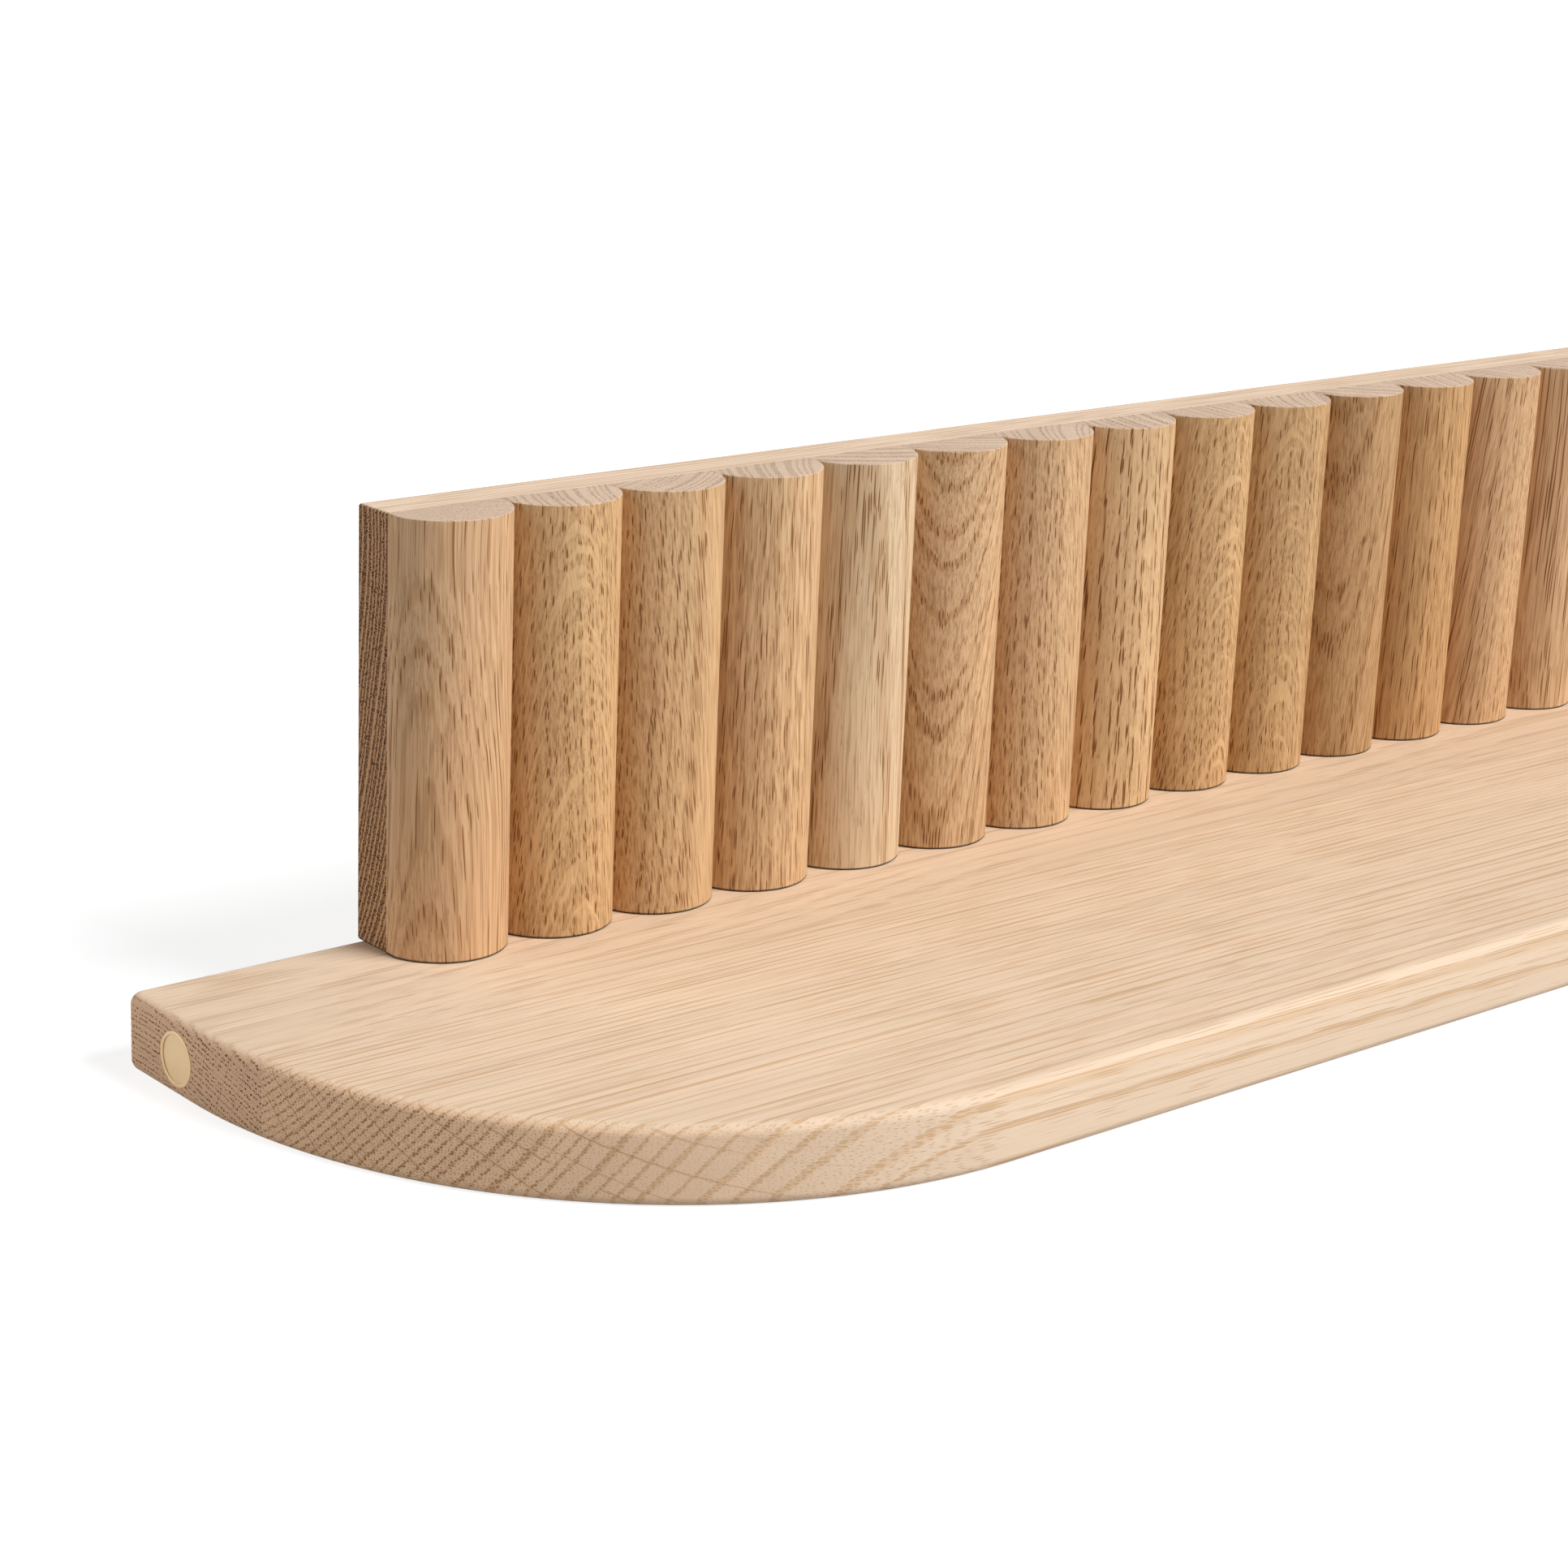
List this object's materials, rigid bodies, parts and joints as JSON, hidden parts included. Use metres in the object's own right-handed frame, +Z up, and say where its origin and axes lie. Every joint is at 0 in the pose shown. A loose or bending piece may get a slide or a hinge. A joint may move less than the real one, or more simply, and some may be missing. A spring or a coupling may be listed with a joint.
{
  "type": "wall shelf",
  "caption": "Oak wall shelf with large rounded front corners and an upright back panel faced with half-round staves.",
  "frame": {"origin": "on the panel's back, midway between the two wall screws that the shelf hangs on", "axes": "+X along the shelf, +Y into the wall, +Z up"},
  "size_m": [0.6002, 0.152, 0.12],
  "materials": {
    "half_round_oak": "oiled oak, upright grain, satin",
    "panel_oak": "oiled oak, long grain, satin",
    "rear_board_oak": "oiled flat-sawn oak, satin",
    "front_board_oak": "oiled rift-sawn oak, satin",
    "inlay_brass": "brushed",
    "pin_beech": "plain fluted dowel",
    "plate_steel": "zinc plated",
    "screw_steel": "zinc plated"
  },
  "bodies": {
    "root": {"half_round_01": "half_round_oak", "half_round_02": "half_round_oak", "half_round_03": "half_round_oak", "half_round_04": "half_round_oak", "half_round_05": "half_round_oak", "half_round_06": "half_round_oak", "half_round_07": "half_round_oak", "half_round_08": "half_round_oak", "half_round_09": "half_round_oak", "half_round_10": "half_round_oak", "half_round_11": "half_round_oak", "half_round_12": "half_round_oak", "half_round_13": "half_round_oak", "half_round_14": "half_round_oak", "half_round_15": "half_round_oak", "half_round_16": "half_round_oak", "back_panel": "panel_oak", "shelf_rear_board": "rear_board_oak", "shelf_front_board": "front_board_oak", "brass_inlay": "inlay_brass", "panel_pins": "pin_beech", "keyhole_plate_left": "plate_steel", "keyhole_plate_right": "plate_steel", "plate_screws": "screw_steel"}
  },
  "joints": []
}
